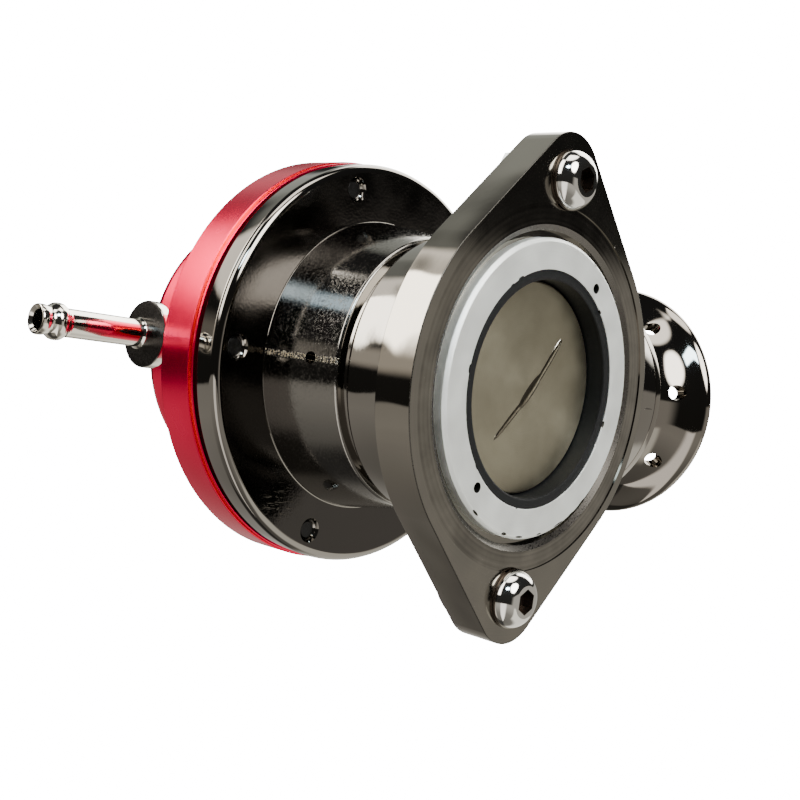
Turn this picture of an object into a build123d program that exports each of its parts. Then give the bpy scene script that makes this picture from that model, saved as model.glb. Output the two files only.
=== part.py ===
from build123d import *
import os

# Blow off valve with a two-bolt flange. The valve axis is Y: the flange's mating face is the plane
# Y = 0 and the inlet opens toward -Y. The cap is toward +Y, the outlet toward +X, the hose nipple
# toward -X and the two flange screws stand above each other along Z. Millimetres.

# flange plate
flange_thick = 7.4
flange_round_r = 33.8
flange_tip_r = 8.7
flange_tip_z = 36.0
flange_edge = 0.35
flange_rim = 1.8
flange_recess_depth = 0.45
flange_pocket_depth = 1.8
flange_groove_depth = 1.6
flange_groove_wide = 2.0
flange_groove_y = 5.0
bolt_z = 36.5
bolt_r = 3.0
bolt_hole_gap = 0.3
bolt_head_r = 5.25
bolt_head_high = 3.3
bolt_head_top_r = 2.9
bolt_head_foot = 0.5
bolt_dome_r = 3.0
bolt_length = 16.0
bolt_chamfer = 0.6
bolt_socket_r = 2.31
bolt_socket_deep = 2.1
nut_flat_r = 5.0
nut_high = 5.0
nut_bevel = 0.65
nut_turn = 16

# seat ring and its rubber seal
seat_face = 0.5
seat_bore_r = 20.8
seat_bevel = 0.6
seat_head_over = 3.1
seat_pocket_gap = 1.2
seat_neck_wall = 2.3
seat_neck_end = 4.2
spanner_inset = 1.8
spanner_hole_r = 0.9
spanner_hole_deep = 1.6
spanner_angles = (59.0, 230.0)
seal_front = 0.3
seal_edge = 0.3
seal_wall = 1.8
seal_rim = 1.0
ring_fit = 0.02

# valve body and the lower half of the diaphragm housing, one casting
spigot_wall = 1.6
spigot_gap = 0.15
spigot_start = 2.0
casting_edge = 0.4
barrel_step = 1.0
barrel_end = 21.8
neck_groove_deep = 1.4
neck_groove_start = 23.3
neck_groove_end = 24.7
cone_step = 0.2
cone_spread = 2.4
housing_face = 40.9
housing_r = 38.8
housing_round = 1.6
housing_top = 46.0
chamber_gap = 2.3
chamber_slope = 3.0
ledge_gap = 0.6
ledge_thick = 1.2
chamber_end = 37.5
chamber_floor = 42.0
cap_screw_inset = 4.6
cap_screw_count = 5
cap_screw_r = 2.0
cap_screw_mouth = 0.35
screw_gap = 0.2
clamp_ring = 5.9
vent_y = 30.6
vent_r = 1.1

# side outlet and trumpet
outlet_y = 23.4
outlet_r = 15.8
outlet_bore_r = 12.6
outlet_socket_r = 14.6
outlet_socket_deep = 10.9
outlet_ring_thick = 5.7
outlet_ring_gap = 1.0
outlet_reach = 1.7
collar_r = 22.4
collar_thick = 1.9
collar_edge = 0.25
horn_spigot_fit = 0.04
horn_spigot_gap = 0.3
horn_ring_inset = 1.5
horn_ring_wide = 1.9
horn_groove_r = 13.4
horn_waist_r = 17.0
horn_waist_long = 2.5
horn_flare_r = 14.0
horn_flare_angle = 42.0
horn_lip = 5.8
horn_wall = 1.5
horn_cone_angle = 20.0
horn_hole_inset = 8.7
horn_hole_r = 1.6
horn_hole_count = 8
horn_hole_turn = 35
set_screw_inset = 2.9
set_screw_r = 1.5
set_screw_sunk = 0.9
set_screw_play = 0.1
set_screw_socket = 2.0
set_groove_half = 1.6

# diaphragm, plates and valve
diaphragm_thick = 0.95
diaphragm_inset = 0.8
roll_gap = 1.0
roll_wide = 6.5
roll_edge = 0.4
roll_rise = 2.7
plate_thick = 1.8
plate_bevel = 1.0
head_face = 3.2
head_nose_gap = 0.3
head_edge = 0.3
head_overlap = 1.5
head_thick = 3.0
head_bevel = 0.5
hub_r = 7.0
hub_fillet = 3.0
hub_end = 14.5
stem_start = 6.4
stem_r = 4.0
stem_fit = 0.04
stem_thread_r = 3.0
stem_chamfer = 0.5
stem_end = 56.0
thread_fit = 0.03
stem_nut_high = 5.0
washer_thick = 1.2
washer_r = 6.2
bush_r = 6.5
bush_long = 9.0
bush_flange_r = 8.5
bush_flange_thick = 1.2
bush_groove_low = 1.4
bush_groove_wide = 1.6
bush_groove_deep = 1.56
seal_play = 0.08
clip_thick = 1.0
clip_r = 8.2
clip_groove = 0.5
clip_play = 0.1
clip_fit = 0.05
clip_gap = 7.0

# cap, spring and preload adjuster
cap_over = 0.5
cap_lip_over = 0.2
cap_lip_thick = 0.5
cap_edge = 0.15
cap_groove = 0.45
cap_groove_depth = 0.6
cap_rim_high = 8.75
cap_rim_bevel = 0.3
cap_screw_head_r = 3.5
cap_screw_head_high = 4.0
cap_screw_head_bevel = 0.4
cap_screw_length = 10.0
cap_screw_flat_r = 1.5
cap_screw_socket = 2.2
cap_counterbore_gap = 0.35
cap_shoulder = 11.3
boss_end = 76.9
boss_round = 3.2
room_step = 4.2
room_rise = 1.0
room_gap = 1.6
room_slope = 1.5
room_end = 60.0
room_bevel = 2.0
pocket_gap = 2.0
pocket_bevel = 1.0
pocket_end = 71.5
spring_mean_r = 9.6
spring_wire_r = 0.9
spring_turns = 4.5
seat_disc_r = 13.0
seat_disc_start = 69.0
seat_disc_thick = 2.0
seat_disc_nose = 1.6
seat_disc_nose_r = 7.2
adjuster_r = 4.0
adjuster_fit = 0.05
adjuster_chamfer = 0.8
adjuster_end = 84.0
adjuster_flat_r = 2.0
adjuster_socket = 4.5
lock_nut_r = 6.5
lock_nut_high = 4.0
lock_nut_bevel = 0.9

# hose nipple
nipple_y = 66.0
nipple_flange_r = 6.35
nipple_flange_thick = 2.2
nipple_edge = 0.3
nipple_neck_r = 4.7
nipple_neck_long = 5.1
nipple_seal_thick = 1.5
nipple_sunk = 0.7
nipple_thread_r = 3.5
nipple_thread_long = 10.3
tube_r = 2.6
tube_base_r = 3.0
tube_base_long = 1.5
tube_bore_r = 1.8
tube_long = 22.8
tube_end = 0.5
bead_r = 3.35
bead_land = 0.6
bead_inset = 4.0
bead_rise = 1.2
bead_fall = 2.1
tip_r = 2.75
tip_long = 1.2

# what seats, fits or lines up takes its size from the pieces it meets
bolt_hole_r = bolt_r + bolt_hole_gap
bolt_tip = bolt_length - bolt_head_high
nut_end = flange_thick + nut_high
flange_recess_r = flange_round_r - flange_rim
seat_neck_r = seat_bore_r + seat_neck_wall
seat_head_r = seat_neck_r + seat_head_over
flange_pocket_r = seat_head_r + seat_pocket_gap
spanner_r = seat_bore_r + spanner_inset
seal_bore_r = seat_bore_r - seal_wall
seal_seat = seat_neck_end + seal_rim
spigot_r = seat_neck_r + spigot_wall
barrel_r = spigot_r + barrel_step
neck_groove_r = barrel_r - neck_groove_deep
cone_start_r = barrel_r - cone_step
cone_end_r = cone_start_r + cone_spread
head_nose_r = seal_bore_r - head_nose_gap
head_r = seal_bore_r + head_overlap
ledge_r = head_r + ledge_gap
head_back = seal_seat + head_thick
chamber_start = seal_seat + ledge_thick
chamber_r = head_r + chamber_gap
cap_screw_circle = housing_r - cap_screw_inset
diaphragm_room_r = cap_screw_circle - clamp_ring
diaphragm_r = housing_r - diaphragm_inset
diaphragm_top = housing_top + diaphragm_thick
roll_outer = diaphragm_room_r - roll_edge
roll_inner = roll_outer - roll_wide
plate_r = roll_inner - roll_gap
roll_middle = (roll_inner + roll_outer) / 2
lower_plate_under = housing_top - plate_thick
upper_plate_top = diaphragm_top + plate_thick
outlet_face = max(housing_r + outlet_reach, flange_round_r + outlet_ring_gap + outlet_ring_thick)
outlet_socket_start = outlet_face - outlet_socket_deep
outlet_ring_start = outlet_face - outlet_ring_thick
collar_end = outlet_face + collar_thick
horn_spigot_r = outlet_socket_r - horn_spigot_fit
horn_spigot_start = outlet_socket_start + horn_spigot_gap
horn_ring_start = horn_spigot_start + horn_ring_inset
horn_ring_end = horn_ring_start + horn_ring_wide
horn_ring_r = (horn_groove_r + outlet_socket_r) / 2
horn_flare_x = collar_end + horn_waist_long
horn_hole_x = horn_flare_x + horn_hole_inset
set_screw_x = outlet_face - set_screw_inset
bush_bore_r = stem_r + stem_fit
bush_groove_top = chamber_floor - bush_groove_low
cap_front = diaphragm_top
cap_r = housing_r + cap_over
cap_lip_r = housing_r + cap_lip_over
boss_r = cap_r - cap_shoulder
cap_back = cap_front + cap_rim_high
room_r = plate_r + room_gap
pocket_r = seat_disc_r + pocket_gap
seat_disc_end = seat_disc_start + seat_disc_thick
nipple_spot_face = boss_r - nipple_sunk
nipple_seal_face = nipple_spot_face + nipple_seal_thick
nipple_flange_back = nipple_seal_face + nipple_neck_long
nipple_flange_face = nipple_flange_back + nipple_flange_thick
nipple_thread_end = nipple_seal_face - nipple_thread_long
tip_x = nipple_flange_face + tube_long
bead_x = tip_x - bead_inset
lock_nut_end = boss_end + lock_nut_high
nut_corner = 2 / 3**0.5
os.makedirs("parts", exist_ok=True)


def across(y):
    """The plane at height y of the valve axis, looking out of the flange: local x is X, local y is Z."""
    return Plane.XZ.offset(-y)


def save(built, name):
    built.part.label = name
    export_step(built.part, f"parts/{name}.step")


# Mounting flange: a rounded rhombic plate with a stepped bore and a turned recess on its face.
with BuildPart() as mounting_flange:
    with BuildSketch(across(0)):
        Circle(flange_round_r)
        with Locations((0, flange_tip_z), (0, -flange_tip_z)):
            Circle(flange_tip_r)
        make_hull()
    extrude(amount=-flange_thick)
    chamfer(mounting_flange.faces().sort_by(Axis.Y)[0].edges(), flange_edge)
    chamfer(mounting_flange.faces().sort_by(Axis.Y)[-1].edges(), flange_edge)
    with BuildSketch(across(0)):
        Circle(flange_recess_r)
    extrude(amount=-flange_recess_depth, mode=Mode.SUBTRACT)
    with BuildSketch(across(0)):
        Circle(flange_pocket_r)
    extrude(amount=-flange_pocket_depth, mode=Mode.SUBTRACT)
    with BuildSketch(across(0)):
        Circle(spigot_r + spigot_gap)
        with Locations((0, bolt_z), (0, -bolt_z)):
            Circle(bolt_hole_r)
    extrude(amount=-flange_thick, mode=Mode.SUBTRACT)
    with BuildSketch(Plane.XY):
        with Locations((spigot_r, flange_groove_y)):
            Rectangle(2 * flange_groove_depth, flange_groove_wide)
    revolve(axis=Axis.Y, mode=Mode.SUBTRACT)
save(mounting_flange, "mounting_flange")

# The two button head screws that fix the flange, with a hexagon socket each, and their nuts.
with BuildPart() as flange_screws:
    with BuildSketch(Plane.XY):
        with BuildLine():
            Polyline((0, 0), (0, -bolt_head_high), (bolt_head_top_r, -bolt_head_high))
            RadiusArc((bolt_head_top_r, -bolt_head_high), (bolt_head_r, -bolt_head_foot), -bolt_dome_r)
            Polyline(
                (bolt_head_r, -bolt_head_foot),
                (bolt_head_r, 0),
                (bolt_r, 0),
                (bolt_r, bolt_tip - bolt_chamfer),
                (bolt_r - bolt_chamfer, bolt_tip),
                (0, bolt_tip),
                (0, 0),
            )
        make_face()
    revolve(axis=Axis.Y)
    with BuildSketch(across(-bolt_head_high)):
        RegularPolygon(bolt_socket_r, 6)
    extrude(amount=-bolt_socket_deep, mode=Mode.SUBTRACT)
one_screw = flange_screws.part
with BuildPart() as flange_screw_pair:
    add([Pos(0, 0, bolt_z) * one_screw, Pos(0, 0, -bolt_z) * one_screw])
save(flange_screw_pair, "flange_screws")

with BuildPart() as flange_nuts:
    for z in (bolt_z, -bolt_z):
        with BuildSketch(across(flange_thick)):
            with Locations((0, z)):
                RegularPolygon(nut_flat_r * nut_corner, 6, rotation=nut_turn)
                Circle(bolt_r + thread_fit, mode=Mode.SUBTRACT)
        extrude(amount=-nut_high)
        with BuildSketch(Plane.XY.offset(z)):
            with BuildLine():
                Polyline(
                    (nut_flat_r, nut_end),
                    (nut_flat_r * nut_corner + nut_bevel, nut_end - nut_bevel),
                    (nut_flat_r * nut_corner + nut_bevel, nut_end),
                    close=True,
                )
            make_face()
        revolve(axis=Axis((0, 0, z), (0, 1, 0)), mode=Mode.SUBTRACT)
save(flange_nuts, "flange_nuts")

# Seat ring: its head lies in the flange's pocket and clamps the plate, its neck screws into the body.
with BuildPart() as seat_ring:
    with BuildSketch(Plane.XY):
        with BuildLine():
            Polyline(
                (seat_bore_r, -seat_face),
                (seat_head_r - seat_bevel, -seat_face),
                (seat_head_r, -seat_face + seat_bevel),
                (seat_head_r, flange_pocket_depth),
                (seat_neck_r, flange_pocket_depth),
                (seat_neck_r, seat_neck_end),
                (seat_bore_r, seat_neck_end),
                close=True,
            )
        make_face()
    revolve(axis=Axis.Y)
    with BuildSketch(across(-seat_face)):
        for angle in spanner_angles:
            with PolarLocations(spanner_r, 1, start_angle=angle):
                Circle(spanner_hole_r)
    extrude(amount=-spanner_hole_deep, mode=Mode.SUBTRACT)
save(seat_ring, "seat_ring")

# Seat seal: a rubber sleeve inside the ring, with a rim clamped between the neck and the body's ledge.
with BuildPart() as seat_seal:
    with BuildSketch(Plane.XY):
        with BuildLine():
            Polyline(
                (seal_bore_r + seal_edge, -seal_front),
                (seat_bore_r, -seal_front),
                (seat_bore_r, seat_neck_end),
                (seat_neck_r, seat_neck_end),
                (seat_neck_r, seal_seat),
                (seal_bore_r, seal_seat),
                (seal_bore_r, -seal_front + seal_edge),
                close=True,
            )
        make_face()
    revolve(axis=Axis.Y)
save(seat_seal, "seat_seal")

# Valve body: a revolved casting with a flared side outlet, hollowed for the valve and the diaphragm.
with BuildPart() as valve_body:
    with BuildSketch(Plane.XY):
        with BuildLine():
            Polyline(
                (0, spigot_start),
                (spigot_r - casting_edge, spigot_start),
                (spigot_r, spigot_start + casting_edge),
                (spigot_r, flange_thick),
                (barrel_r - casting_edge, flange_thick),
                (barrel_r, flange_thick + casting_edge),
                (barrel_r, barrel_end),
                (neck_groove_r, neck_groove_start),
                (neck_groove_r, neck_groove_end),
                (cone_start_r - casting_edge, neck_groove_end),
                (cone_start_r, neck_groove_end + casting_edge),
                (cone_end_r, housing_face),
                (housing_r - housing_round, housing_face),
            )
            RadiusArc(
                (housing_r - housing_round, housing_face),
                (housing_r, housing_face + housing_round),
                -housing_round,
            )
            Polyline(
                (housing_r, housing_face + housing_round),
                (housing_r, housing_top),
                (0, housing_top),
                (0, spigot_start),
            )
        make_face()
    revolve(axis=Axis.Y)
    with BuildSketch(Plane.XY):
        with BuildLine():
            Polyline(
                (0, outlet_y),
                (0, outlet_y + outlet_r),
                (outlet_ring_start, outlet_y + outlet_r),
                (outlet_ring_start, outlet_y + collar_r - casting_edge),
                (outlet_ring_start + casting_edge, outlet_y + collar_r),
                (outlet_face - collar_edge, outlet_y + collar_r),
                (outlet_face, outlet_y + collar_r - collar_edge),
                (outlet_face, outlet_y),
                (0, outlet_y),
            )
        make_face()
    revolve(axis=Axis((0, outlet_y, 0), (1, 0, 0)))
    with BuildSketch(Plane.XY):
        with BuildLine():
            Polyline(
                (0, 0),
                (seat_neck_r, 0),
                (seat_neck_r, seal_seat),
                (ledge_r, seal_seat),
                (ledge_r, chamber_start),
                (chamber_r, chamber_start + chamber_r - ledge_r),
                (chamber_r, chamber_end - chamber_slope),
                (chamber_r - chamber_slope, chamber_end),
                (0, chamber_end),
                close=True,
            )
        make_face()
    revolve(axis=Axis.Y, mode=Mode.SUBTRACT)
    with BuildSketch(across(housing_top)):
        Circle(diaphragm_room_r)
    extrude(amount=housing_top - chamber_floor, mode=Mode.SUBTRACT)
    with BuildSketch(across(chamber_floor)):
        Circle(bush_r)
    extrude(amount=chamber_floor - chamber_end, mode=Mode.SUBTRACT)
    with BuildSketch(Plane.YZ.offset(outlet_face)):
        with Locations((outlet_y, 0)):
            Circle(outlet_bore_r)
    extrude(amount=chamber_r / 2 - outlet_face, mode=Mode.SUBTRACT)
    with BuildSketch(Plane.YZ.offset(outlet_face)):
        with Locations((outlet_y, 0)):
            Circle(outlet_socket_r)
    extrude(amount=outlet_socket_start - outlet_face, mode=Mode.SUBTRACT)
    with BuildSketch(across(housing_top)):
        with PolarLocations(cap_screw_circle, cap_screw_count, start_angle=180):
            Circle(cap_screw_r)
    extrude(amount=housing_top - housing_face, mode=Mode.SUBTRACT)
    with BuildSketch(across(housing_face)):
        with PolarLocations(cap_screw_circle, cap_screw_count, start_angle=180):
            Circle(cap_screw_r + cap_screw_mouth)
    extrude(amount=-cap_screw_mouth, taper=45, mode=Mode.SUBTRACT)
    with BuildSketch(Plane.YZ.offset(-cone_end_r)):
        with Locations((vent_y, 0)):
            Circle(vent_r)
    extrude(amount=cone_end_r / 2, mode=Mode.SUBTRACT)
    with BuildSketch(Plane.XY.offset(-collar_r)):
        with Locations((set_screw_x, outlet_y)):
            Circle(set_screw_r)
    extrude(amount=collar_r - horn_groove_r, mode=Mode.SUBTRACT)
save(valve_body, "valve_body")

with BuildPart() as flange_o_ring:
    with BuildSketch(Plane.XY):
        with Locations((spigot_r + flange_groove_depth / 2, flange_groove_y)):
            Circle((flange_groove_depth - ring_fit) / 2)
    revolve(axis=Axis.Y)
save(flange_o_ring, "flange_o_ring")

# Stem guide: bush, its retaining clip and the ring that seals the stem.
with BuildPart() as stem_bush:
    with BuildSketch(Plane.XY):
        with BuildLine():
            Polyline(
                (bush_bore_r, chamber_floor - bush_long),
                (bush_r, chamber_floor - bush_long),
                (bush_r, chamber_end - clip_thick - clip_play),
                (bush_r - clip_groove, chamber_end - clip_thick - clip_play),
                (bush_r - clip_groove, chamber_end),
                (bush_r, chamber_end),
                (bush_r, chamber_floor),
                (bush_flange_r, chamber_floor),
                (bush_flange_r, chamber_floor + bush_flange_thick),
                (bush_bore_r, chamber_floor + bush_flange_thick),
                (bush_bore_r, bush_groove_top),
                (bush_bore_r + bush_groove_deep, bush_groove_top),
                (bush_bore_r + bush_groove_deep, bush_groove_top - bush_groove_wide),
                (bush_bore_r, bush_groove_top - bush_groove_wide),
                close=True,
            )
        make_face()
    revolve(axis=Axis.Y)
save(stem_bush, "stem_bush")

with BuildPart() as stem_seal:
    with BuildSketch(Plane.XY):
        with Locations((bush_bore_r + bush_groove_deep / 2, bush_groove_top - bush_groove_wide / 2)):
            Circle((bush_groove_deep - seal_play) / 2)
    revolve(axis=Axis.Y)
save(stem_seal, "stem_seal")

with BuildPart() as bush_clip:
    with BuildSketch(across(chamber_end - clip_thick)):
        Circle(clip_r)
        Circle(bush_r - clip_groove + clip_fit, mode=Mode.SUBTRACT)
        with Locations((0, -clip_r)):
            Rectangle(clip_gap, clip_r, mode=Mode.SUBTRACT)
    extrude(amount=-clip_thick)
save(bush_clip, "bush_clip")

# Valve: the head that closes on the seal, its stem, and the plates that grip the diaphragm.
with BuildPart() as valve_head:
    with BuildSketch(Plane.XY):
        with BuildLine():
            Polyline(
                (0, head_face),
                (head_nose_r - head_edge, head_face),
                (head_nose_r, head_face + head_edge),
                (head_nose_r, seal_seat),
                (head_r, seal_seat),
                (head_r, head_back - head_bevel),
                (head_r - head_bevel, head_back),
                (hub_r + hub_fillet, head_back),
            )
            RadiusArc((hub_r + hub_fillet, head_back), (hub_r, head_back + hub_fillet), hub_fillet)
            Polyline(
                (hub_r, head_back + hub_fillet),
                (hub_r, hub_end),
                (stem_thread_r, hub_end),
                (stem_thread_r, stem_start),
                (0, stem_start),
                (0, head_face),
            )
        make_face()
    revolve(axis=Axis.Y)
save(valve_head, "valve_head")

with BuildPart() as valve_stem:
    with BuildSketch(Plane.XY):
        with BuildLine():
            Polyline(
                (0, stem_start),
                (stem_thread_r - stem_chamfer, stem_start),
                (stem_thread_r - thread_fit, stem_start + stem_chamfer),
                (stem_thread_r - thread_fit, hub_end),
                (stem_r, hub_end),
                (stem_r, lower_plate_under),
                (stem_thread_r - thread_fit, lower_plate_under),
                (stem_thread_r - thread_fit, stem_end - stem_chamfer),
                (stem_thread_r - stem_chamfer, stem_end),
                (0, stem_end),
                close=True,
            )
        make_face()
    revolve(axis=Axis.Y)
save(valve_stem, "valve_stem")

with BuildPart() as lower_plate:
    with BuildSketch(Plane.XY):
        with BuildLine():
            Polyline(
                (stem_thread_r, lower_plate_under),
                (plate_r - plate_bevel, lower_plate_under),
                (plate_r, lower_plate_under + plate_bevel),
                (plate_r, housing_top),
                (stem_thread_r, housing_top),
                close=True,
            )
        make_face()
    revolve(axis=Axis.Y)
save(lower_plate, "lower_plate")

with BuildPart() as upper_plate:
    with BuildSketch(Plane.XY):
        with BuildLine():
            Polyline(
                (stem_thread_r, diaphragm_top),
                (plate_r, diaphragm_top),
                (plate_r, upper_plate_top - plate_bevel),
                (plate_r - plate_bevel, upper_plate_top),
                (stem_thread_r, upper_plate_top),
                close=True,
            )
        make_face()
    revolve(axis=Axis.Y)
save(upper_plate, "upper_plate")

with BuildPart() as stem_washer:
    with BuildSketch(across(upper_plate_top)):
        Circle(washer_r)
        Circle(stem_thread_r, mode=Mode.SUBTRACT)
    extrude(amount=-washer_thick)
save(stem_washer, "stem_washer")

with BuildPart() as stem_nut:
    with BuildSketch(across(upper_plate_top + washer_thick)):
        RegularPolygon(nut_flat_r * nut_corner, 6)
        Circle(stem_thread_r, mode=Mode.SUBTRACT)
    extrude(amount=-stem_nut_high)
save(stem_nut, "stem_nut")

# Diaphragm: a flat rubber sheet with one rolled fold between the plates and the clamped rim.
with BuildPart() as diaphragm:
    with BuildSketch(Plane.XY):
        with BuildLine():
            Polyline(
                (stem_thread_r, housing_top),
                (stem_thread_r, diaphragm_top),
                (roll_inner, diaphragm_top),
            )
            ThreePointArc(
                (roll_inner, diaphragm_top),
                (roll_middle, diaphragm_top + roll_rise),
                (roll_outer, diaphragm_top),
            )
            Polyline(
                (roll_outer, diaphragm_top),
                (diaphragm_r, diaphragm_top),
                (diaphragm_r, housing_top),
                (roll_outer - diaphragm_thick, housing_top),
            )
            ThreePointArc(
                (roll_outer - diaphragm_thick, housing_top),
                (roll_middle, housing_top + roll_rise),
                (roll_inner + diaphragm_thick, housing_top),
            )
            Line((roll_inner + diaphragm_thick, housing_top), (stem_thread_r, housing_top))
        make_face()
    revolve(axis=Axis.Y)
    with BuildSketch(across(housing_top)):
        with PolarLocations(cap_screw_circle, cap_screw_count, start_angle=180):
            Circle(cap_screw_r + screw_gap)
    extrude(amount=-diaphragm_thick, mode=Mode.SUBTRACT)
save(diaphragm, "diaphragm")

# Cap: a turned cover with a lip and a thin groove at its front edge, and a boss for the spring.
with BuildPart() as cap:
    groove_start = cap_front + cap_lip_thick
    with BuildSketch(Plane.XY):
        with BuildLine():
            Polyline(
                (0, cap_front),
                (cap_lip_r - cap_edge, cap_front),
                (cap_lip_r, cap_front + cap_edge),
                (cap_lip_r, groove_start),
                (cap_r - cap_groove_depth, groove_start),
                (cap_r - cap_groove_depth, groove_start + cap_groove),
                (cap_r, groove_start + cap_groove),
                (cap_r, cap_back - cap_rim_bevel),
                (cap_r - cap_rim_bevel, cap_back),
                (boss_r, cap_back),
                (boss_r, boss_end - boss_round),
            )
            RadiusArc((boss_r, boss_end - boss_round), (boss_r - boss_round, boss_end), -boss_round)
            Polyline((boss_r - boss_round, boss_end), (0, boss_end), (0, cap_front))
        make_face()
    revolve(axis=Axis.Y)
    with BuildSketch(Plane.XY):
        with BuildLine():
            Polyline(
                (0, cap_front),
                (diaphragm_room_r, cap_front),
                (diaphragm_room_r, cap_front + room_step),
                (room_r + room_slope, cap_front + room_step + room_rise),
                (room_r, cap_front + room_step + room_rise + room_slope),
                (room_r, room_end - room_bevel),
                (room_r - room_bevel, room_end),
                (pocket_r, room_end),
                (pocket_r, pocket_end - pocket_bevel),
                (pocket_r - pocket_bevel, pocket_end),
                (adjuster_r + adjuster_fit, pocket_end),
                (adjuster_r + adjuster_fit, boss_end - adjuster_chamfer),
                (adjuster_r + adjuster_fit + adjuster_chamfer, boss_end),
                (0, boss_end),
                close=True,
            )
        make_face()
    revolve(axis=Axis.Y, mode=Mode.SUBTRACT)
    with BuildSketch(across(cap_front)):
        with PolarLocations(cap_screw_circle, cap_screw_count, start_angle=180):
            Circle(cap_screw_r + screw_gap)
    extrude(amount=cap_front - cap_back, mode=Mode.SUBTRACT)
    with BuildSketch(across(cap_back)):
        with PolarLocations(cap_screw_circle, cap_screw_count, start_angle=180):
            Circle(cap_screw_head_r + cap_counterbore_gap)
    extrude(amount=cap_screw_head_high, mode=Mode.SUBTRACT)
    with BuildSketch(Plane.YZ.offset(-boss_r)):
        with Locations((nipple_y, 0)):
            Circle(nipple_flange_r + screw_gap)
    extrude(amount=nipple_sunk, mode=Mode.SUBTRACT)
    with BuildSketch(Plane.YZ.offset(-nipple_spot_face)):
        with Locations((nipple_y, 0)):
            Circle(nipple_thread_r)
    extrude(amount=nipple_spot_face - nipple_thread_end, mode=Mode.SUBTRACT)
    with BuildSketch(Plane.YZ.offset(-nipple_thread_end)):
        with Locations((nipple_y, 0)):
            Circle(tube_bore_r)
    extrude(amount=nipple_thread_end - adjuster_r, mode=Mode.SUBTRACT)
save(cap, "cap")

cap_screw_seat = cap_back - cap_screw_head_high
cap_screw_tip = cap_screw_seat - cap_screw_length
with BuildPart() as one_cap_screw:
    with BuildSketch(Plane.XY):
        with BuildLine():
            Polyline(
                (0, cap_screw_tip),
                (cap_screw_r - stem_chamfer, cap_screw_tip),
                (cap_screw_r - thread_fit, cap_screw_tip + stem_chamfer),
                (cap_screw_r - thread_fit, cap_screw_seat),
                (cap_screw_head_r, cap_screw_seat),
                (cap_screw_head_r, cap_back - cap_screw_head_bevel),
                (cap_screw_head_r - cap_screw_head_bevel, cap_back),
                (0, cap_back),
                close=True,
            )
        make_face()
    revolve(axis=Axis.Y)
    with BuildSketch(across(cap_back)):
        RegularPolygon(cap_screw_flat_r * nut_corner, 6)
    extrude(amount=cap_screw_socket, mode=Mode.SUBTRACT)
cap_screw_places = PolarLocations(cap_screw_circle, cap_screw_count, start_angle=180).local_locations
with BuildPart() as cap_screws:
    add([Pos(place.position.X, 0, place.position.Y) * one_cap_screw.part for place in cap_screw_places])
save(cap_screws, "cap_screws")

# Main spring, its seat disc, the adjuster that presses the disc and the lock nut outside.
ground = spring_wire_r / 3
spring_low = upper_plate_top + ground
spring_high = seat_disc_start - ground
with BuildPart() as main_spring:
    with BuildLine() as coil:
        Helix(
            pitch=(spring_high - spring_low) / spring_turns,
            height=spring_high - spring_low,
            radius=spring_mean_r,
            center=(0, spring_low, 0),
            direction=(0, 1, 0),
        )
    with BuildSketch(Plane(origin=coil.line @ 0, z_dir=coil.line % 0)):
        Circle(spring_wire_r)
    sweep(path=coil.line, is_frenet=True)
    with BuildSketch(across(upper_plate_top)):
        Circle(spring_mean_r + 2 * spring_wire_r)
    extrude(amount=2 * spring_wire_r, mode=Mode.SUBTRACT)
    with BuildSketch(across(seat_disc_start)):
        Circle(spring_mean_r + 2 * spring_wire_r)
    extrude(amount=-2 * spring_wire_r, mode=Mode.SUBTRACT)
save(main_spring, "main_spring")

with BuildPart() as spring_seat:
    with BuildSketch(Plane.XY):
        with BuildLine():
            Polyline(
                (0, seat_disc_start - seat_disc_nose),
                (seat_disc_nose_r - casting_edge, seat_disc_start - seat_disc_nose),
                (seat_disc_nose_r, seat_disc_start),
                (seat_disc_r, seat_disc_start),
                (seat_disc_r, seat_disc_end),
                (0, seat_disc_end),
                close=True,
            )
        make_face()
    revolve(axis=Axis.Y)
save(spring_seat, "spring_seat")

with BuildPart() as adjuster_screw:
    with BuildSketch(Plane.XY):
        with BuildLine():
            Polyline(
                (0, seat_disc_end),
                (adjuster_r - adjuster_chamfer, seat_disc_end),
                (adjuster_r, seat_disc_end + adjuster_chamfer),
                (adjuster_r, adjuster_end - adjuster_chamfer),
                (adjuster_r - adjuster_chamfer, adjuster_end),
                (0, adjuster_end),
                close=True,
            )
        make_face()
    revolve(axis=Axis.Y)
    with BuildSketch(across(adjuster_end)):
        RegularPolygon(adjuster_flat_r * nut_corner, 6)
    extrude(amount=adjuster_socket, mode=Mode.SUBTRACT)
save(adjuster_screw, "adjuster_screw")

with BuildPart() as lock_nut:
    with BuildSketch(across(boss_end)):
        RegularPolygon(lock_nut_r * nut_corner, 6)
        Circle(adjuster_r + adjuster_fit, mode=Mode.SUBTRACT)
    extrude(amount=-lock_nut_high)
    with BuildSketch(Plane.XY):
        with BuildLine():
            Polyline(
                (lock_nut_r, lock_nut_end),
                (lock_nut_r * nut_corner + lock_nut_bevel, lock_nut_end - lock_nut_bevel),
                (lock_nut_r * nut_corner + lock_nut_bevel, lock_nut_end),
                close=True,
            )
        make_face()
    revolve(axis=Axis.Y, mode=Mode.SUBTRACT)
save(lock_nut, "lock_nut")

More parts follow.
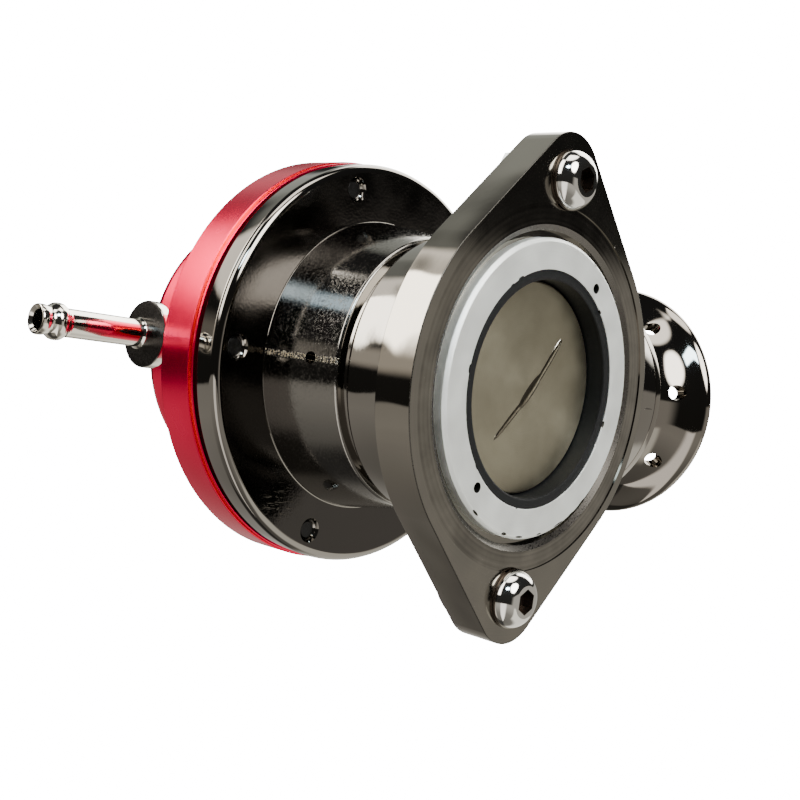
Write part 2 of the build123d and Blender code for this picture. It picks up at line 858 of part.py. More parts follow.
# Hose nipple: a beaded tube with a round flange and a threaded end, on a seal washer.
with BuildPart() as hose_nipple:
    with BuildSketch(Plane.XY):
        with BuildLine():
            Polyline(
                (-tip_x + tube_end, nipple_y + tube_bore_r),
                (-tip_x, nipple_y + tube_bore_r + tube_end),
                (-tip_x, nipple_y + tip_r - nipple_edge),
                (-tip_x + nipple_edge, nipple_y + tip_r),
                (-tip_x + tip_long, nipple_y + tip_r),
                (-tip_x + tip_long + tube_end, nipple_y + tube_r),
            )
            Spline(
                (-tip_x + tip_long + tube_end, nipple_y + tube_r),
                (-bead_x - bead_rise, nipple_y + (tube_r + bead_r) / 2),
                (-bead_x - bead_land / 2, nipple_y + bead_r),
                tangents=((1, 0), (1, 0)),
            )
            Line((-bead_x - bead_land / 2, nipple_y + bead_r), (-bead_x + bead_land / 2, nipple_y + bead_r))
            Spline(
                (-bead_x + bead_land / 2, nipple_y + bead_r),
                (-bead_x + bead_rise, nipple_y + (tube_r + bead_r) / 2),
                (-bead_x + bead_fall, nipple_y + tube_r),
                tangents=((1, 0), (1, 0)),
            )
            Polyline(
                (-bead_x + bead_fall, nipple_y + tube_r),
                (-nipple_flange_face - tube_base_long - tube_end, nipple_y + tube_r),
                (-nipple_flange_face - tube_base_long, nipple_y + tube_base_r),
                (-nipple_flange_face, nipple_y + tube_base_r),
                (-nipple_flange_face, nipple_y + nipple_flange_r - nipple_edge),
                (-nipple_flange_face + nipple_edge, nipple_y + nipple_flange_r),
                (-nipple_flange_back - nipple_edge, nipple_y + nipple_flange_r),
                (-nipple_flange_back, nipple_y + nipple_flange_r - nipple_edge),
                (-nipple_flange_back, nipple_y + nipple_neck_r),
                (-nipple_seal_face, nipple_y + nipple_neck_r),
                (-nipple_seal_face, nipple_y + nipple_thread_r - thread_fit),
                (-nipple_thread_end - tube_end, nipple_y + nipple_thread_r - thread_fit),
                (-nipple_thread_end, nipple_y + nipple_thread_r - tube_end),
                (-nipple_thread_end, nipple_y + tube_bore_r),
                (-tip_x + tube_end, nipple_y + tube_bore_r),
            )
        make_face()
    revolve(axis=Axis((0, nipple_y, 0), (1, 0, 0)))
save(hose_nipple, "hose_nipple")

with BuildPart() as nipple_seal:
    with BuildSketch(Plane.YZ.offset(-nipple_seal_face)):
        with Locations((nipple_y, 0)):
            Circle(nipple_neck_r + casting_edge)
            Circle(nipple_thread_r + thread_fit, mode=Mode.SUBTRACT)
    extrude(amount=nipple_seal_face - nipple_spot_face)
save(nipple_seal, "nipple_seal")

# Trumpet: a flared horn with a ring of holes, a collar against the outlet and a spigot inside it.
with BuildPart() as trumpet:
    with BuildSketch(Plane.XY):
        with BuildLine():
            Polyline(
                (horn_spigot_start, outlet_y + outlet_bore_r),
                (horn_spigot_start, outlet_y + horn_spigot_r - casting_edge),
                (horn_spigot_start + casting_edge, outlet_y + horn_spigot_r),
                (horn_ring_start, outlet_y + horn_spigot_r),
                (horn_ring_start, outlet_y + horn_groove_r),
                (horn_ring_end, outlet_y + horn_groove_r),
                (horn_ring_end, outlet_y + horn_spigot_r),
                (set_screw_x - set_groove_half, outlet_y + horn_spigot_r),
                (set_screw_x - set_groove_half, outlet_y + horn_groove_r),
                (set_screw_x + set_groove_half, outlet_y + horn_groove_r),
                (set_screw_x + set_groove_half, outlet_y + horn_spigot_r),
                (outlet_face, outlet_y + horn_spigot_r),
                (outlet_face, outlet_y + collar_r - collar_edge),
                (outlet_face + collar_edge, outlet_y + collar_r),
                (collar_end - collar_edge, outlet_y + collar_r),
                (collar_end, outlet_y + collar_r - collar_edge),
                (collar_end, outlet_y + horn_waist_r),
                (horn_flare_x, outlet_y + horn_waist_r),
            )
            outside = JernArc((horn_flare_x, outlet_y + horn_waist_r), (1, 0), horn_flare_r, horn_flare_angle)
            outer_lip = outside @ 1 + (outside % 1) * horn_lip
            inner_lip = outer_lip + (outside % 1).rotate(Axis.Z, -90) * horn_wall
            Line(outside @ 1, outer_lip)
            ThreePointArc(outer_lip, (outer_lip + inner_lip) / 2 + (outside % 1) * horn_wall / 2, inner_lip)
            flare_middle = Vector(horn_flare_x, outlet_y + horn_waist_r + horn_flare_r)
            inside = CenterArc(
                flare_middle,
                horn_flare_r + horn_wall,
                horn_cone_angle - 90,
                horn_flare_angle - horn_cone_angle,
            )
            Line(inner_lip, inside @ 1)
            cone_length = ((inside @ 0).Y - outlet_y - outlet_bore_r) / (inside % 0).Y
            cone_foot = inside @ 0 - (inside % 0) * cone_length
            Line(inside @ 0, cone_foot)
            Line(cone_foot, (horn_spigot_start, outlet_y + outlet_bore_r))
        make_face()
    revolve(axis=Axis((0, outlet_y, 0), (1, 0, 0)))
    hole_turns = [horn_hole_turn + 360 * number / horn_hole_count for number in range(horn_hole_count)]
    with Locations((horn_hole_x, outlet_y, 0)):
        with Locations(*[Rotation(turn, 0, 0) for turn in hole_turns]):
            with Locations((0, 0, horn_waist_r + horn_wall)):
                Cylinder(horn_hole_r, 2 * horn_lip, mode=Mode.SUBTRACT)
save(trumpet, "trumpet")

with BuildPart() as trumpet_o_ring:
    with BuildSketch(Plane.XY):
        with Locations((horn_ring_start + horn_ring_wide / 2, outlet_y + horn_ring_r)):
            Circle(outlet_socket_r - horn_ring_r - ring_fit / 2)
    revolve(axis=Axis((0, outlet_y, 0), (1, 0, 0)))
save(trumpet_o_ring, "trumpet_o_ring")

with BuildPart() as trumpet_set_screw:
    with BuildSketch(Plane.XY.offset(set_screw_sunk - collar_r)):
        with Locations((set_screw_x, outlet_y)):
            Circle(set_screw_r - thread_fit)
    extrude(amount=collar_r - set_screw_sunk - horn_groove_r - set_screw_play)
    with BuildSketch(Plane.XY.offset(set_screw_sunk - collar_r)):
        with Locations((set_screw_x, outlet_y)):
            RegularPolygon(set_screw_r / 2 * nut_corner, 6)
    extrude(amount=set_screw_socket, mode=Mode.SUBTRACT)
save(trumpet_set_screw, "trumpet_set_screw")
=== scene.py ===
import math

import bmesh
import bpy
from mathutils import Matrix, Vector
from mathutils.geometry import interpolate_bezier


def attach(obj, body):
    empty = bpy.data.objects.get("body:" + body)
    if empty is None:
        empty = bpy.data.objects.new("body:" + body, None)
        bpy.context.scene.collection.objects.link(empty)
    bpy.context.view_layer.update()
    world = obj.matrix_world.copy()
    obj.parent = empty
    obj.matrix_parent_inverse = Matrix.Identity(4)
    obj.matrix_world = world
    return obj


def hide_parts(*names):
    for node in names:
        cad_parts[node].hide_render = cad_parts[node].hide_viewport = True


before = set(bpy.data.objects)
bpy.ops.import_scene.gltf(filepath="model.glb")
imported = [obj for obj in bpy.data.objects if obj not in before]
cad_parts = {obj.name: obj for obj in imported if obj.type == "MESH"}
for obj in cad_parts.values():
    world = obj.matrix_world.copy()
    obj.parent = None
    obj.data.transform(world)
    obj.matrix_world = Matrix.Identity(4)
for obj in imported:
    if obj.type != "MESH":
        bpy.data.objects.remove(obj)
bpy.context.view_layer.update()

MM = 0.001

# Sizes that several places share, in millimetres and as in the solids. Places along the valve's axis, Y,
# count from the flange's face toward the cap.
FLANGE_THICK = 7.4
FLANGE_BORE_R = 24.85
RECESS_DEPTH = 0.2
RECESS_R = 32.0
POCKET_DEPTH = 1.8
POCKET_R = 27.4
BOLT_Z = 36.5
NUT_END = FLANGE_THICK + 5.0
SEAT_FRONT = -0.5
SEAT_BORE_R = 20.8
SEAL_STEP = 4.2
SEAL_R = 23.1
SEAL_END = 5.2
HEAD_FACE = 3.2
BARREL_FRONT_R = 24.7
BARREL_R = 25.7
CONE_START = 24.7
CONE_R = 27.9
HOUSING_FACE = 40.9
HOUSING_TOP = 46.0
HOUSING_BORE_R = 28.3
OUTLET_Y = 23.4
OUTLET_BORE_R = 12.6
NECK_END = 40.5
COLLAR_R = 22.4
CAP_FRONT = 46.95
CAP_BACK = 55.7
BOSS_R = 28.0
BOSS_END = 76.9
SCREW_CIRCLE = 34.2
THREAD_PITCH = 0.7
THREAD_BORE_R = 2.02
NIPPLE_Y = 66.0
NIPPLE_TUBE_R = 2.6
NIPPLE_BEAD_R = 3.35
NIPPLE_BORE_R = 1.8

# How the shapes are made.


def mesh_object(name, bm):
    """Closes the bmesh into an object of its own at the origin, with its faces pointing outwards."""
    bmesh.ops.remove_doubles(bm, verts=bm.verts, dist=1e-6)
    bmesh.ops.recalc_face_normals(bm, faces=bm.faces)
    mesh = bpy.data.meshes.new(name)
    bm.to_mesh(mesh)
    bm.free()
    piece = bpy.data.objects.new(name, mesh)
    bpy.context.scene.collection.objects.link(piece)
    return piece


# What lays a shape that was made along Y along the named axis.
AXES = {
    "Y": Matrix.Identity(4),
    "X": Matrix.Rotation(math.radians(-90), 4, "Z"),
    "Z": Matrix.Rotation(math.radians(90), 4, "X"),
}


def on_circle(vert, place, radius):
    """Whether a corner of the turned shape lies at this place and radius."""
    return abs(vert.co.y - place * MM) < 2e-6 and abs(math.hypot(vert.co.x, vert.co.z) - radius * MM) < 2e-6


def turned(name, outline, axis="Y", about=(0, 0, 0), steps=160, closed=True):
    """A turned piece. Each corner of its outline is (place along the axis, radius), in mm, and the size of
    its rounding where it has one. An open outline starts and ends on the axis."""
    bm = bmesh.new()
    verts = [bm.verts.new((corner[1] * MM, corner[0] * MM, 0)) for corner in outline]
    edges = [bm.edges.new(pair) for pair in zip(verts, verts[1:])]
    if closed:
        edges.append(bm.edges.new((verts[-1], verts[0])))
    bmesh.ops.spin(
        bm,
        geom=verts + edges,
        cent=(0, 0, 0),
        axis=(0, 1, 0),
        angle=math.tau,
        steps=steps,
        use_merge=True,
        use_duplicate=False,
    )
    bmesh.ops.remove_doubles(bm, verts=bm.verts, dist=1e-6)
    bmesh.ops.recalc_face_normals(bm, faces=bm.faces)
    for place, radius, edge_round in [corner for corner in outline if len(corner) == 3]:
        rim = [edge for edge in bm.edges if all(on_circle(vert, place, radius) for vert in edge.verts)]
        bmesh.ops.bevel(
            bm,
            geom=rim,
            offset=edge_round * MM,
            offset_type="OFFSET",
            segments=max(2, min(6, round(edge_round * 5))),
            profile=0.5,
            affect="EDGES",
            clamp_overlap=True,
            material=-1,
        )
    bmesh.ops.transform(bm, matrix=Matrix.Translation(Vector(about) * MM) @ AXES[axis], verts=bm.verts)
    return mesh_object(name, bm)


def curve(start, start_pull, end_pull, end, count):
    """Corners along a smooth curve from start to end, led by the two pull points."""
    corners = [Vector((*corner, 0)) for corner in (start, start_pull, end_pull, end)]
    return [(point.x, point.y) for point in interpolate_bezier(*corners, count)]


def drill(radius, low, high, axis="Y", about=(0, 0, 0), sides=48):
    """A round or many-sided cutter along one axis, from low to high in mm."""
    bm = bmesh.new()
    bmesh.ops.create_cone(
        bm, cap_ends=True, segments=sides, radius1=radius * MM, radius2=radius * MM, depth=(high - low) * MM
    )
    lift = Matrix.Translation((0, (low + high) / 2 * MM, 0)) @ Matrix.Rotation(math.radians(90), 4, "X")
    bmesh.ops.transform(bm, matrix=Matrix.Translation(Vector(about) * MM) @ AXES[axis] @ lift, verts=bm.verts)
    return mesh_object("drill", bm)


def at_places(piece, places):
    """Puts the piece's mesh at the first place, in mm, and a copy of it at each of the others."""
    bm = bmesh.new()
    bm.from_mesh(piece.data)
    first = bm.verts[:] + bm.edges[:] + bm.faces[:]
    for place in places[1:]:
        made = bmesh.ops.duplicate(bm, geom=first)
        verts = [item for item in made["geom"] if isinstance(item, bmesh.types.BMVert)]
        bmesh.ops.translate(bm, verts=verts, vec=(Vector(place) - Vector(places[0])) * MM)
    bmesh.ops.translate(bm, verts=bm.verts, vec=Vector(places[0]) * MM)
    bm.to_mesh(piece.data)
    bm.free()
    return piece


def ring_places(count, radius, first, y=0.0):
    """Places on a circle round the valve axis, in mm."""
    angles = [math.radians(first + 360 * number / count) for number in range(count)]
    return [(radius * math.cos(angle), y, radius * math.sin(angle)) for angle in angles]


def carve(piece, cutter, how="DIFFERENCE", number=0):
    """Cuts the cutter out of the piece, or joins it on, and drops it. The number picks the cut's material,
    which the piece has to have by then."""
    for face in cutter.data.polygons:
        face.material_index = number
    step = piece.modifiers.new("carve", "BOOLEAN")
    step.object = cutter
    step.operation = how
    step.solver = "EXACT"
    bpy.context.view_layer.update()
    mesh = bpy.data.meshes.new_from_object(piece.evaluated_get(bpy.context.evaluated_depsgraph_get()))
    piece.modifiers.clear()
    piece.data = mesh
    bpy.data.objects.remove(cutter)


def dent(piece, place, sizes, slant=0.0, number=0):
    """Cuts a long rounded nick, pit or gouge. Its place and half sizes are in mm, its slant is in degrees
    from X toward Z."""
    bm = bmesh.new()
    bmesh.ops.create_icosphere(bm, subdivisions=3, radius=1.0)
    shape = Matrix.Diagonal((*[size * MM for size in sizes], 1))
    move = Matrix.Translation(Vector(place) * MM) @ Matrix.Rotation(math.radians(-slant), 4, "Y") @ shape
    bmesh.ops.transform(bm, matrix=move, verts=bm.verts)
    carve(piece, mesh_object("dent", bm), number=number)


def zone(piece, number, inside):
    """Gives the material of this number to the faces that pass the test. The test is given each face's centre
    and its distance from the valve's axis, both in mm, and its normal."""
    for face in piece.data.polygons:
        centre = face.center / MM
        if inside(centre, math.hypot(centre.x, centre.z), face.normal):
            face.material_index = number


def wear(piece, *materials):
    """Gives the piece its materials, in the order of their numbers."""
    for material in materials:
        piece.data.materials.append(material)


def finish(piece, replaced, body="housing", sharp=33):
    """Smooth shading that keeps corners over the sharp angle, in degrees, crisp; hangs the piece under its
    body and hides the CAD node that it stands for. Faces square to the valve's axis stay flat, whatever is
    cut into them."""
    piece.data.shade_smooth()
    piece.data.set_sharp_from_angle(angle=math.radians(sharp))
    for face in piece.data.polygons:
        face.use_smooth = abs(face.normal.y) < 0.99999
    piece.modifiers.new("flat faces stay flat", "WEIGHTED_NORMAL").keep_sharp = True
    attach(piece, body)
    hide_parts(replaced)


# How the materials are made.


def hex_colour(code, strength=1.0):
    """An sRGB hex value as Blender's linear colour, times the strength of a light."""
    parts = [int(code[place : place + 2], 16) / 255 for place in (1, 3, 5)]
    linear = [part / 12.92 if part <= 0.04045 else ((part + 0.055) / 1.055) ** 2.4 for part in parts]
    return (*[part * strength for part in linear], 1.0)


def node(tree, kind, settings=None, links=None):
    """One node. Settings name its properties, its inputs or a ramp's stops, and links name an input and its
    source."""
    made = tree.nodes.new(kind)
    for key, value in (settings or {}).items():
        if key == "stops":
            for place, colour in value[2:]:
                made.color_ramp.elements.new(place)
            for element, (place, colour) in zip(made.color_ramp.elements, value):
                element.position = place
                element.color = colour if isinstance(colour, tuple) else (colour, colour, colour, 1)
        elif str(key) in made.bl_rna.properties:
            setattr(made, key, value)
        else:
            made.inputs[key].default_value = value
    for key, source in (links or {}).items():
        output = source if isinstance(source, bpy.types.NodeSocket) else source.outputs[0]
        tree.links.new(output, made.inputs[key])
    return made


def new_material(name):
    """An empty material and the object coordinates of the piece that wears it."""
    material = bpy.data.materials.new(name)
    material.use_nodes = True
    tree = material.node_tree
    tree.nodes.clear()
    return material, tree, node(tree, "ShaderNodeTexCoord").outputs["Object"]


def anodised_red():
    # Aluminium, turned and satin, then anodised and dyed red: a metal's shine in the dye's deep colour, under
    # a thin clear oxide that gives the pale edge of each highlight.
    material, tree, place = new_material("anodised_aluminium_red")
    cloud = node(tree, "ShaderNodeTexNoise", {"Scale": 1 / (9 * MM), "Detail": 2.0}, {"Vector": place})
    colour = node(
        tree,
        "ShaderNodeValToRGB",
        {"stops": [(0.35, hex_colour("#F20048")), (0.65, hex_colour("#FA004E"))]},
        {"Fac": cloud},
    )
    rough = node(tree, "ShaderNodeValToRGB", {"stops": [(0.3, 0.25), (0.7, 0.28)]}, {"Fac": cloud})
    satin = node(tree, "ShaderNodeTexNoise", {"Scale": 1 / (0.35 * MM), "Detail": 2.0}, {"Vector": place})
    bump = node(tree, "ShaderNodeBump", {"Strength": 0.03, "Distance": 0.03 * MM}, {"Height": satin})
    shader = node(
        tree,
        "ShaderNodeBsdfPrincipled",
        {"Metallic": 1.0, "Coat Weight": 0.05, "Coat Roughness": 0.12},
        {"Base Color": colour, "Roughness": rough, "Normal": bump},
    )
    node(tree, "ShaderNodeOutputMaterial", links={"Surface": shader})
    return material


def black_chrome(name, colour, roughness, peel, depth, sway):
    # Smoothed by hand and plated with black chrome: a dark mirror, its reflections bent by the slow waves
    # that the polishing leaves and broken a little by the orange peel.
    material, tree, place = new_material(name)
    skin = node(tree, "ShaderNodeTexNoise", {"Scale": 1 / (peel * MM), "Detail": 2.0}, {"Vector": place})
    rough = node(
        tree,
        "ShaderNodeValToRGB",
        {"stops": [(0.3, roughness * 0.8), (0.75, roughness * 1.5)]},
        {"Fac": skin},
    )
    peeled = node(tree, "ShaderNodeBump", {"Strength": 0.35, "Distance": depth * MM}, {"Height": skin})
    waves = node(tree, "ShaderNodeTexNoise", {"Scale": 1 / (16 * MM), "Detail": 1.0}, {"Vector": place})
    bump = node(tree, "ShaderNodeBump", {"Distance": sway * MM}, {"Height": waves, "Normal": peeled})
    shader = node(
        tree,
        "ShaderNodeBsdfPrincipled",
        {"Metallic": 1.0, "Base Color": hex_colour(colour)},
        {"Roughness": rough, "Normal": bump},
    )
    node(tree, "ShaderNodeOutputMaterial", links={"Surface": shader})
    return material


def cone_chrome():
    # Black chrome on the cone: speckled by the casting's pores, with the rough bright scar of the mould's
    # parting line along the side of the vent.
    material, tree, place = new_material("black_chrome_on_cone")
    pores = node(tree, "ShaderNodeTexNoise", {"Scale": 1 / (0.45 * MM), "Detail": 4.0}, {"Vector": place})
    parts = node(tree, "ShaderNodeSeparateXYZ", links={"Vector": place})
    side = node(
        tree,
        "ShaderNodeMapRange",
        {"interpolation_type": "SMOOTHSTEP", "From Min": 0.75 * MM, "From Max": 0.3 * MM},
        {"Value": node(tree, "ShaderNodeMath", {"operation": "ABSOLUTE"}, {0: parts.outputs["Z"]})},
    )
    left = node(tree, "ShaderNodeMath", {"operation": "LESS_THAN", 1: 0.0}, {0: parts.outputs["X"]})
    crumbs = node(tree, "ShaderNodeTexNoise", {"Scale": 1 / (0.3 * MM), "Detail": 5.0}, {"Vector": place})
    crumb = node(tree, "ShaderNodeValToRGB", {"stops": [(0.5, 0.0), (0.6, 1.0)]}, {"Fac": crumbs})
    strip = node(tree, "ShaderNodeMath", {"operation": "MULTIPLY"}, {0: side, 1: left})
    scar = node(tree, "ShaderNodeMath", {"operation": "MULTIPLY"}, {0: strip, 1: crumb})
    colour = node(
        tree,
        "ShaderNodeValToRGB",
        {"stops": [(0.2, hex_colour("#827F7A")), (0.8, hex_colour("#B8AC92"))]},
        {"Fac": scar},
    )
    smooth = node(tree, "ShaderNodeValToRGB", {"stops": [(0.4, 0.07), (0.7, 0.24)]}, {"Fac": pores})
    rough = node(tree, "ShaderNodeMath", {"operation": "MAXIMUM"}, {0: smooth, 1: scar})
    relief = node(tree, "ShaderNodeMath", {"operation": "MULTIPLY_ADD", 1: 6.0}, {0: scar, 2: pores})
    bump = node(tree, "ShaderNodeBump", {"Strength": 0.35, "Distance": 0.02 * MM}, {"Height": relief})
    shader = node(
        tree,
        "ShaderNodeBsdfPrincipled",
        {"Metallic": 1.0},
        {"Base Color": colour, "Roughness": rough, "Normal": bump},
    )
    node(tree, "ShaderNodeOutputMaterial", links={"Surface": shader})
    return material


def housing_face_chrome():
    # Black chrome over a skin left rough from the mould: dark and soft, pitted, scraped bare near the lower
    # edge.
    material, tree, place = new_material("black_chrome_on_rough_face")
    skin = node(tree, "ShaderNodeTexNoise", {"Scale": 1 / (0.5 * MM), "Detail": 5.0}, {"Vector": place})
    cloud = node(tree, "ShaderNodeTexNoise", {"Scale": 1 / (7 * MM), "Detail": 3.0}, {"Vector": place})
    away = node(
        tree,
        "ShaderNodeVectorMath",
        {"operation": "DISTANCE", 1: Vector((-19.8, HOUSING_FACE, -27.5)) * MM},
        {0: place},
    )
    near = node(
        tree,
        "ShaderNodeMapRange",
        {"interpolation_type": "SMOOTHSTEP", "From Min": 5.5 * MM, "From Max": 1.0 * MM},
        {"Value": away.outputs["Value"]},
    )
    along = node(
        tree, "ShaderNodeMapping", {"Rotation": (0, 0.6, 0), "Scale": (0.25, 1, 1.6)}, {"Vector": place}
    )
    scratches = node(
        tree,
        "ShaderNodeTexNoise",
        {"Scale": 1 / (0.7 * MM), "Detail": 4.0, "Distortion": 1.5},
        {"Vector": along},
    )
    scraped = node(tree, "ShaderNodeValToRGB", {"stops": [(0.58, 0.0), (0.72, 1.0)]}, {"Fac": scratches})
    bare = node(tree, "ShaderNodeMath", {"operation": "MULTIPLY"}, {0: near, 1: scraped})
    colour = node(
        tree,
        "ShaderNodeValToRGB",
        {"stops": [(0.0, hex_colour("#514E4B")), (1.0, hex_colour("#6E685A"))]},
        {"Fac": bare},
    )
    soft = node(tree, "ShaderNodeValToRGB", {"stops": [(0.35, 0.07), (0.65, 0.16)]}, {"Fac": cloud})
    relief = node(tree, "ShaderNodeMath", {"operation": "MULTIPLY_ADD", 1: 2.0}, {0: bare, 2: skin})
    bump = node(tree, "ShaderNodeBump", {"Strength": 0.5, "Distance": 0.025 * MM}, {"Height": relief})
    shader = node(
        tree,
        "ShaderNodeBsdfPrincipled",
        {"Metallic": 1.0},
        {"Base Color": colour, "Roughness": soft, "Normal": bump},
    )
    node(tree, "ShaderNodeOutputMaterial", links={"Surface": shader})
    return material


def turned_metal(name, colours, roughness, pitch, depth, anisotropy=0.0):
    # Metal faced on a lathe: fine rings round the valve axis that break and spread each highlight across
    # them. The pitch is drawn coarser than the tool leaves it, so that the rings show.
    material, tree, place = new_material(name)
    flat = node(tree, "ShaderNodeVectorMath", {"operation": "MULTIPLY", 1: (1, 0, 1)}, {0: place})
    radius = node(tree, "ShaderNodeVectorMath", {"operation": "LENGTH"}, {0: flat}).outputs["Value"]
    marks = node(
        tree,
        "ShaderNodeTexNoise",
        {"noise_dimensions": "1D", "Scale": 1 / (pitch * MM), "Detail": 2.0},
        {"W": radius},
    )
    cloud = node(tree, "ShaderNodeTexNoise", {"Scale": 1 / (6 * MM), "Detail": 4.0}, {"Vector": place})
    both = node(tree, "ShaderNodeMath", {"operation": "MULTIPLY_ADD", 1: 0.5}, {0: marks, 2: cloud})
    colour = node(
        tree,
        "ShaderNodeValToRGB",
        {"stops": [(0.5, hex_colour(colours[0])), (1.0, hex_colour(colours[1]))]},
        {"Fac": both},
    )
    rough = node(
        tree,
        "ShaderNodeValToRGB",
        {"stops": [(0.5, roughness[0]), (1.0, roughness[1])]},
        {"Fac": both},
    )
    bump = node(tree, "ShaderNodeBump", {"Strength": 0.3, "Distance": depth * MM}, {"Height": marks})
    around = node(tree, "ShaderNodeTangent", {"direction_type": "RADIAL", "axis": "Y"})
    shader = node(
        tree,
        "ShaderNodeBsdfPrincipled",
        {"Metallic": 1.0, "Anisotropic": anisotropy, "Anisotropic Rotation": 0.25},
        {"Base Color": colour, "Roughness": rough, "Normal": bump, "Tangent": around},
    )
    node(tree, "ShaderNodeOutputMaterial", links={"Surface": shader})
    return material


def plain_metal(name, colour, roughness, speck=0.6):
    # Plated, drawn or polished metal: nearly even, with a faint cloud in its polish, drawn coarser than the
    # real grain so that it shows.
    material, tree, place = new_material(name)
    fine = node(tree, "ShaderNodeTexNoise", {"Scale": 1 / (speck * MM), "Detail": 3.0}, {"Vector": place})
    rough = node(
        tree,
        "ShaderNodeValToRGB",
        {"stops": [(0.3, roughness * 0.8), (0.7, roughness * 1.3)]},
        {"Fac": fine},
    )
    bump = node(tree, "ShaderNodeBump", {"Strength": 0.05, "Distance": 0.02 * MM}, {"Height": fine})
    shader = node(
        tree,
        "ShaderNodeBsdfPrincipled",
        {"Metallic": 1.0, "Base Color": hex_colour(colour)},
        {"Roughness": rough, "Normal": bump},
    )
    node(tree, "ShaderNodeOutputMaterial", links={"Surface": shader})
    return material


def moulded_rubber():
    # Nitrile rubber as moulded: near black, faintly blue, with a soft bloom.
    material, tree, place = new_material("nitrile_rubber_moulded")
    fine = node(tree, "ShaderNodeTexNoise", {"Scale": 1 / (0.25 * MM), "Detail": 3.0}, {"Vector": place})
    rough = node(tree, "ShaderNodeValToRGB", {"stops": [(0.3, 0.45), (0.7, 0.6)]}, {"Fac": fine})
    bump = node(tree, "ShaderNodeBump", {"Strength": 0.15, "Distance": 0.03 * MM}, {"Height": fine})
    shader = node(
        tree,
        "ShaderNodeBsdfPrincipled",
        {"Base Color": hex_colour("#0A0C0E"), "Specular IOR Level": 0.25},
        {"Roughness": rough, "Normal": bump},
    )
    node(tree, "ShaderNodeOutputMaterial", links={"Surface": shader})
    return material


RED = anodised_red()
# The casting and the trumpet: dark mirrors, the barrel's bent most by its hand polish.
BARREL_CHROME = black_chrome("black_chrome_on_casting", "#837F79", 0.045, 2.5, 0.02, 0.7)
CONE_CHROME = cone_chrome()
FACE_CHROME = housing_face_chrome()
TRUMPET_CHROME = black_chrome("black_chrome_polished", "#858079", 0.05, 3.0, 0.01, 0.5)
# The flange: a polished side; rougher, darker nickel on its rounded edges, the pocket's chamfer and the pits,
# painted shade that dims their highlights; coarse rings in its recess and fine ones on its face.
FLANGE_SIDE = black_chrome("black_nickel_polished", "#8A857D", 0.04, 4.0, 0.015, 0.35)
FLANGE_EDGE_SHADE = plain_metal("black_nickel_edges_painted_shade", "#55524E", 0.3, 0.3)
FLANGE_RINGS = turned_metal("black_nickel_coarse_rings", ("#66635D", "#87837B"), (0.07, 0.12), 0.8, 0.008)
FLANGE_FACE = turned_metal("black_nickel_turned", ("#7D7A73", "#87837B"), (0.07, 0.12), 0.16, 0.004)
# Inside the inlet: the ring is bright and soft, the head grey with a sheen that turns with its rings.
SEAT = turned_metal("bright_aluminium_turned", ("#EFF2F0", "#FAFDFB"), (0.5, 0.62), 0.18, 0.008)
VALVE = turned_metal("steel_turned_grey", ("#9A9582", "#A8A390"), (0.32, 0.44), 0.14, 0.006, 0.5)
# Painted shade in the ring's nicks and spanner holes and in the head's gouge; a painted highlight beside it.
SEAT_SHADE = plain_metal("aluminium_holes_and_nicks_painted_shade", "#3A3833", 0.5, 0.3)
VALVE_GOUGE_SHADE = plain_metal("steel_gouge_painted_shade", "#3E3A31", 0.4, 0.2)
VALVE_GOUGE_HIGHLIGHT = plain_metal("steel_gouge_painted_highlight", "#D8D3C4", 0.3, 0.2)
# Fasteners and fittings: polished mirrors; painted shade in the sockets, at the heads' feet, on the nipple's
# flange.
STAINLESS = plain_metal("stainless_steel_polished", "#CFCDC8", 0.07)
SCREW_SHADE = plain_metal("stainless_steel_painted_shade", "#5A5048", 0.35, 0.4)
ZINC = plain_metal("steel_zinc_plated", "#B4B8BA", 0.2)
NICKEL = plain_metal("brass_nickel_plated", "#D9D4CA", 0.09)
NICKEL_SHADE = plain_metal("brass_nickel_plated_painted_shade", "#383635", 0.3, 0.3)
BLACK_STEEL = plain_metal("steel_black_oxide", "#3A3A3A", 0.35)
# Parts that the valve hides, as they leave the machine.
PLAIN_STEEL = plain_metal("steel_ground", "#A9A9A8", 0.28)
PLAIN_ALUMINIUM = plain_metal("aluminium_machined", "#C4C5C6", 0.3)
BRASS = plain_metal("brass_machined", "#C9A35A", 0.25)
RUBBER = moulded_rubber()

# The camera, as the photograph was taken.

view = bpy.data.cameras.new("camera")
view.sensor_fit = "HORIZONTAL"
view.sensor_width = 36.0
view.lens = 53.98
view.clip_start = 0.005
camera = bpy.data.objects.new("camera", view)
camera.matrix_world = Matrix(
    (
        (0.66571, -0.07580, -0.74240, -0.17012),
        (-0.73300, 0.12030, -0.66950, -0.12121),
        (0.14010, 0.98980, 0.02450, -0.00004),
        (0, 0, 0, 1),
    )
)
bpy.context.scene.collection.objects.link(camera)
bpy.context.scene.camera = camera

# The places of the fasteners, then the pieces one by one.

BOLT_PLACES = [(0, 0, BOLT_Z), (0, 0, -BOLT_Z)]
CAP_SCREW_PLACES = ring_places(5, SCREW_CIRCLE, 180)

# Cap: turned from bar, with a lip and a thin groove at its front edge.
cap = turned(
    "cap_red",
    [
        (CAP_FRONT, HOUSING_BORE_R, 0.15),
        (CAP_FRONT, 39.0, 0.15),
        (CAP_FRONT + 0.5, 39.0, 0.1),
        (CAP_FRONT + 0.5, 38.7),
        (CAP_FRONT + 0.95, 38.7),
        (CAP_FRONT + 0.95, 39.3, 0.15),
        (CAP_BACK, 39.3, 0.3),
        (CAP_BACK, BOSS_R, 0.3),
        (BOSS_END, BOSS_R, 3.2),
        (BOSS_END, 4.05, 0.5),
        (71.5, 4.05),
        (71.5, 15.0, 1.0),
        (60.0, 15.0),
        (60.0, 22.0, 2.0),
        (53.65, 22.0),
        (52.15, 23.5),
        (51.15, HOUSING_BORE_R),
    ],
    steps=200,
)
for hole_r, start in ((2.2, CAP_FRONT - 1), (3.85, CAP_BACK - 4)):
    carve(cap, at_places(drill(hole_r, start, CAP_BACK + 1), CAP_SCREW_PLACES))
